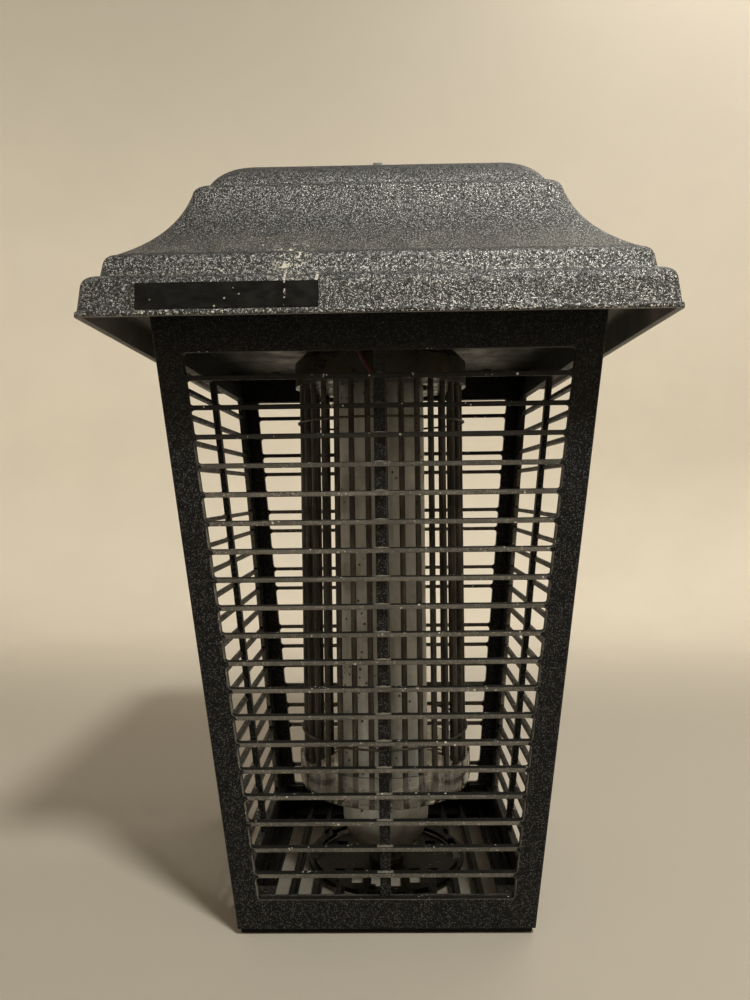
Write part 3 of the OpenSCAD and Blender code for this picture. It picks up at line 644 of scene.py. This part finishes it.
def add_face(quads, slots, depth, inset, grow, span_mark):
    """The front or back of a layer. Gives the heights of its outer edge's points."""
    # Posts: every point of the slots' outlines is joined to the outer edge at its own height
    inner = [point for lo, hi in slots for point in right_side(lo, hi, grow)]
    foot, head = foot_at(depth), head_at(depth)
    inner = [(inner[0][0], foot)] + inner + [(inner[-1][0], head)]
    outer = [(half_at(s) - inset, s) for _, s in inner]
    for side in (1, -1):
        for k in range(len(inner) - 1):
            corners = inner[k], outer[k], outer[k + 1], inner[k + 1]
            quads.add([(side * x, s, depth) for x, s in corners])
    # Bands and slats between the posts
    levels = [foot] + [v for lo, hi in slots for v in (lo - grow, hi + grow)] + [head]
    widths = [w for lo, hi in slots for w in slot_widths(lo, hi)]
    widths = widths[:1] + widths + widths[-1:]
    for k in range(0, len(levels), 2):
        mark = HOUSING if k in (0, len(levels) - 2) else span_mark
        (w0, w1), (s0, s1) = widths[k:k + 2], levels[k:k + 2]
        for j in range(ACROSS):
            u0, u1 = 1 - 2 * j / ACROSS, 1 - 2 * (j + 1) / ACROSS
            quads.add([(w0 * u0, s0, depth), (w1 * u0, s1, depth),
                       (w1 * u1, s1, depth), (w0 * u1, s0, depth)], mark)
    return [s for _, s in inner]


def add_layer(quads, slots, d0, d1, r_front, mark):
    """One closed flat layer with rounded slots. mark is for the slots' walls and the slats."""
    rings = wall_rings(d0, d1, r_front, SOFT)
    for lo, hi in slots:
        loops = [[(x, s, d) for x, s in outline(lo, hi, grow)] for grow, d in rings]
        for a, b in zip(loops, loops[1:]):
            for k in range(len(a)):
                m = (k + 1) % len(a)
                quads.add([a[k], a[m], b[m], b[k]], mark)
    stations = corner_stations(d0, d1)
    heights = [add_face(quads, slots, *stations[end], rings[end][0], mark) for end in (0, -1)]
    # The outer corners and mitres, each point of one face joined to its match on the other
    last = len(heights[0]) - 1
    rows = []
    for i, (s_front, s_back) in enumerate(zip(*heights)):
        row = []
        for depth, inset in stations:
            s = s_back if depth == d1 else s_front
            s = foot_at(depth) if i == 0 else head_at(depth) if i == last else s
            row.append((half_at(s) - inset, s, depth))
        rows.append(row)
    for side in (1, -1):
        for a, b in zip(rows, rows[1:]):
            for k in range(len(a) - 1):
                quads.add([(side * x, s, d) for x, s, d in (a[k], a[k + 1], b[k + 1], b[k])])
    # The lower and the upper edge
    for row, width in ((rows[0], slot_widths(*slots[0])[0]),
                       (rows[-1], slot_widths(*slots[-1])[1])):
        for (x0, s0, da), (x1, s1, db) in zip(row, row[1:]):
            near, far = row_across(width, x0), row_across(width, x1)
            for k in range(len(near) - 1):
                quads.add([(near[k], s0, da), (near[k + 1], s0, da),
                           (far[k + 1], s1, db), (far[k], s1, db)])


def add_rib(quads):
    """The upright rib behind the slats, with its long edges rounded."""
    cx, front, back = RIB_HALF - RIB_R, RIB_FRONT + RIB_R, RIB_BACK - RIB_R
    section = []
    for x, d, start in ((cx, back, 0), (-cx, back, 90), (-cx, front, 180), (cx, front, 270)):
        for k in range(4):
            a = math.radians(start + 30 * k)
            section.append((x + RIB_R * math.cos(a), d + RIB_R * math.sin(a)))
    s0, s1 = WINDOW[0] - RIB_REACH, WINDOW[1] + RIB_REACH
    for a, b in zip(section, section[1:] + section[:1]):
        quads.add([(a[0], s0, a[1]), (b[0], s0, b[1]), (b[0], s1, b[1]), (a[0], s1, a[1])])
    for s in (s0, s1):
        quads.add([(x, s, d) for x, d in section])


def add_swelling(quads, lo):
    """The raised swelling on top of a slat, where it crosses the rib."""
    def at(hump, point):
        (x, height), (d, share) = hump, point
        return x, lo + (height * share if share >= 0 else share), d

    humps = [(x, TICK_H * math.cos(math.pi * x / (2 * TICK_X)) ** 2) for x in
             (-TICK_X, -0.7 * TICK_X, -0.4 * TICK_X, 0.0, 0.4 * TICK_X, 0.7 * TICK_X, TICK_X)]
    # Its section: depth, and a share of the swelling's height, or how far it is sunk into the slat
    ring = [(0.5, -0.5), (0.5, 0.0), (1.0, 1.0), (SLAT_D - 0.7, 1.0), (SLAT_D - 0.4, -0.5)]
    for hump in (humps[0], humps[-1]):
        quads.add([at(hump, point) for point in ring], TOPPED)
    for a, b in zip(humps, humps[1:]):
        for p, q in zip(ring, ring[1:] + ring[:1]):
            quads.add([at(a, p), at(b, p), at(b, q), at(a, q)], TOPPED)


def build_grille(node_name, turn):
    quads = Quads()
    slots = slot_edges()
    add_layer(quads, slots, 0.0, SLAT_D, SOFT, FADED_AND_SHADED)
    add_layer(quads, [WINDOW], SLAT_D - LAP, PANEL, 0.0, HOUSING)
    add_rib(quads)
    for lo, hi in slots[1:]:
        add_swelling(quads, lo)
    spin = Matrix.Rotation(math.radians(turn), 3, "Z")
    vertices, faces = [], []
    for points in quads.faces:
        start = len(vertices)
        vertices += [spin @ on_face(*point) for point in points]
        faces.append(tuple(range(start, start + len(points))))
    obj = piece(node_name + "_panel", vertices, faces, quads.marks,
                [SLOTS["housing"], SLAT, SWELLING_HIGHLIGHT], node_name, 40.0)
    flat = obj.modifiers.new("flat_faces", "WEIGHTED_NORMAL")
    flat.keep_sharp = True


for grille_node, turn in (("front_grille", 0), ("right_grille", 90),
                          ("rear_grille", 180), ("left_grille", -90)):
    build_grille(grille_node, turn)


# ------------------------------------------------------------------ roof

ROOF_LO, ROOF_HI = box_mm("roof")
ROOF_HALF, ROOF_Z, ROOF_TOP = ROOF_HI.x, ROOF_LO.z, ROOF_HI.z
WALL = 2.6              # thickness of the shell
TOP_HALF = 72.0         # half the flat top's width
BAND_R = 4.0            # corner radius of the two lower bands
TOP_R = 11.0            # corner radius of the flat top


def roof_profile():
    """(half width, height, corner radius) from the skirt's lower edge up to the flat top."""
    h = ROOF_HALF
    points = [(h, ROOF_Z + 0.5), (h, ROOF_Z + 2.1),
              (h - 0.25, ROOF_Z + 2.7), (h - 0.9, ROOF_Z + 3.05)]
    # Skirt, its shoulder and ledge; second band; flare; the flare's lip and ledge; dome
    for p0, p1, p2, steps in (
            ((h - 1.0, ROOF_Z + 3.6), (h - 1.6, 353.5), (h - 2.2, 359.6), 6),
            ((h - 2.25, 360.0), (h - 2.9, 365.6), (h - 8.7, 366.4), 8),
            ((h - 9.1, 366.5), (140.9, 366.7), (140.6, 367.6), 4),
            ((139.7, 373.0), (139.2, 377.6), (135.8, 378.9), 8),
            ((135.0, 379.3), (110.9, 396.6), (103.6, 422.6), 30),
            ((103.4, 423.3), (102.9, 427.5), (98.2, 427.9), 8),
            ((97.6, 427.95), (97.0, 428.1), (96.7, 429.0), 3),
            ((96.5, 429.6), (89.5, 445.2), (TOP_HALF, ROOF_TOP), 22)):
        points += bezier(p0, p1, p2, steps)

    def radius(z):
        foot = BAND_TOP / MM
        return BAND_R + (TOP_R - BAND_R) * max(0.0, (z - foot) / (ROOF_TOP - foot))

    return [(half, z, radius(z)) for half, z in points]


def square_loop(half, z, radius, straight=10, arc=7):
    """A square ring of points with rounded corners, anticlockwise seen from above."""
    loop = []
    for corner in range(4):
        turn = Matrix.Rotation(math.radians(90 * corner), 2)
        run = half - radius
        for k in range(straight):
            loop.append((*(turn @ Vector((half, -run + 2 * run * k / straight))), z))
        for k in range(arc):
            a = math.radians(90 * k / arc)
            point = Vector((run + radius * math.cos(a), run + radius * math.sin(a)))
            loop.append((*(turn @ point), z))
    return loop


def build_roof():
    """One closed shell: the inner skin from the middle outwards, the rim, and back over the top."""
    outer = roof_profile()
    rim = [(ROOF_HALF - 0.5, ROOF_Z, 3.8), (ROOF_HALF - 0.15, ROOF_Z + 0.12, BAND_R)]
    inner = [(ROOF_HALF - WALL + 0.2, ROOF_Z, 2.0)]
    inner += [(half - WALL, z - WALL, max(r - WALL, 1.5)) for half, z, r in outer if z > ROOF_Z + 3]
    halves = (5, 13, 28, 44, 60)
    top_in = [(half, ROOF_TOP - WALL, 10.0 * half / TOP_HALF) for half in halves]
    top_out = [(half, ROOF_TOP, TOP_R * half / TOP_HALF) for half in halves[::-1]]
    loops = [square_loop(*ring) for ring in top_in + inner[::-1] + rim + outer + top_out]
    count = len(loops[0])
    vertices = [p for loop in loops for p in loop]
    faces = []
    for i in range(len(loops) - 1):
        for k in range(count):
            m = (k + 1) % count
            faces.append((i * count + k, i * count + m, (i + 1) * count + m, (i + 1) * count + k))
    last = (len(loops) - 1) * count
    faces += [tuple(range(count)), tuple(range(last, last + count))]
    inside = (len(top_in) + len(inner)) * count
    marks = [1] * inside + [0] * (len(faces) - 2 - inside) + [1, 0]
    piece("roof_shell", vertices, faces, marks, [SLOTS["roof"], roof_inner_material()],
          "roof", 50.0)


build_roof()


# ------------------------------------------------------------------ hanging eye

def soften_edges(node_name, width):
    """Small rounding, in millimetres, on a CAD part that is carried over."""
    obj = NODES[node_name]
    weld = obj.modifiers.new("weld", "WELD")
    weld.merge_threshold = 1e-6
    bevel = obj.modifiers.new("soft_edges", "BEVEL")
    bevel.width = width * MM
    bevel.segments = 2
    bevel.limit_method = "ANGLE"
    bevel.angle_limit = math.radians(35)
    bevel.use_clamp_overlap = True
    bevel.harden_normals = True


soften_edges("hanging_eye", 0.3)


# ------------------------------------------------------------------ stage, light and camera
# Lengths are in metres here, except the camera's place.

FLOOR_R = 0.9           # where the floor starts to curve up
SWEEP_R = 0.35          # radius of that curve
WALL_TOP = 1.7
ROUND = 96              # points round the sweep

# name, place, target, diameter, watts, colour
LIGHTS = (
    ("key", (0.50, -1.00, 1.72), (0, -0.05, 0.2), 0.26, 29.0, (1.0, 0.985, 0.88)),
    ("fill", (-0.9, -0.8, 0.9), (0, 0, 0.25), 0.8, 0.5, (1.0, 0.95, 0.88)),
    ("back", (0.75, 0.60, 1.6), (0.55, 1.25, 0.25), 0.9, 8.6, (1.0, 0.95, 0.86)),
)
SKY = (0.95, 0.90, 0.82, 1)
SKY_STRENGTH = 0.03

# The fitted camera: place in millimetres, then yaw, pitch and roll in degrees
CAMERA_AT = (3.7, -519.8, 257.5)
CAMERA_TURN = (-0.937, -0.750, -0.718)
SENSOR = 36.0
LENS = 27.21


def stage_material():
    """Pale paint with painted light and shade: lighter behind the object than in front of it and
    high up.
    """
    s = Shader("stage_paint", Roughness=0.85, Specular_IOR_Level=0.2)
    _, y, z = s.axes()
    wall = s.mix(s.step(y, -0.9, 0.9), (0.45, 0.410, 0.355), (0.76, 0.700, 0.610))
    wall = s.mix(s.step(z, 0.45, 1.3, 0.0, 0.55), wall, (0.40, 0.366, 0.318))
    wall = s.mix(s.step(s.noise(9.0, 3.0), 0.3, 0.7, 0.0, 0.1), wall, (0.50, 0.457, 0.40))
    far = s.most(s.step(z, 0.0, 0.3), s.step(y, 0.25, 0.95))
    s.set("Base Color", s.mix(far, (0.44, 0.40, 0.348), wall))
    return s.mat


def build_stage():
    """A round pale sweep: a floor that curves up into a wall, all round the object."""
    profile = [(0.0, 0.0), (0.3, 0.0), (0.6, 0.0), (FLOOR_R, 0.0)]
    for k in range(1, 13):
        a = math.radians(90 * k / 12)
        profile.append((FLOOR_R + SWEEP_R * math.sin(a), SWEEP_R * (1 - math.cos(a))))
    profile += [(FLOOR_R + SWEEP_R, 1.0), (FLOOR_R + SWEEP_R, WALL_TOP)]
    turns = [2 * math.pi * k / ROUND for k in range(ROUND)]
    bm = bmesh.new()
    rows = [[bm.verts.new((0, 0, 0))]]
    for r, z in profile[1:]:
        rows.append([bm.verts.new((r * math.cos(a), r * math.sin(a), z)) for a in turns])
    for a, b in zip(rows, rows[1:]):
        for k in range(ROUND):
            m = (k + 1) % ROUND
            bm.faces.new([a[0], b[k], b[m]] if len(a) == 1 else [a[k], b[k], b[m], a[m]])
    mesh = bpy.data.meshes.new("stage_sweep")
    bm.to_mesh(mesh)
    bm.free()
    mesh.shade_smooth()
    mesh.materials.append(stage_material())
    obj = bpy.data.objects.new("stage_sweep", mesh)
    bpy.context.scene.collection.objects.link(obj)


def area_light(name, place, target, size, power, colour):
    data = bpy.data.lights.new(name, "AREA")
    data.shape = "DISK"
    data.size = size
    data.energy = power
    data.color = colour
    obj = bpy.data.objects.new(name, data)
    bpy.context.scene.collection.objects.link(obj)
    obj.location = place
    obj.rotation_mode = "QUATERNION"
    obj.rotation_quaternion = (Vector(target) - Vector(place)).to_track_quat("-Z", "Y")


def build_world():
    world = bpy.data.worlds.new("world")
    bpy.context.scene.world = world
    world.use_nodes = True
    background = world.node_tree.nodes["Background"]
    background.inputs["Color"].default_value = SKY
    background.inputs["Strength"].default_value = SKY_STRENGTH


def build_camera():
    data = bpy.data.cameras.new("camera")
    data.sensor_width = SENSOR
    data.lens = LENS
    data.clip_start = 0.01
    data.clip_end = 100.0
    obj = bpy.data.objects.new("camera", data)
    bpy.context.scene.collection.objects.link(obj)
    yaw, pitch, roll = (math.radians(v) for v in CAMERA_TURN)
    forward = Vector((math.sin(yaw) * math.cos(pitch), math.cos(yaw) * math.cos(pitch),
                      math.sin(pitch)))
    right = Vector((math.cos(yaw), -math.sin(yaw), 0.0))
    up = right.cross(forward)
    right, up = (right * math.cos(roll) + up * math.sin(roll),
                 up * math.cos(roll) - right * math.sin(roll))
    turn = Matrix((right, up, -forward)).transposed()
    obj.matrix_world = Matrix.Translation(Vector(CAMERA_AT) * MM) @ turn.to_4x4()
    bpy.context.scene.camera = obj


build_stage()
for light in LIGHTS:
    area_light(*light)
build_world()
build_camera()
bpy.context.scene.view_settings.view_transform = "Standard"
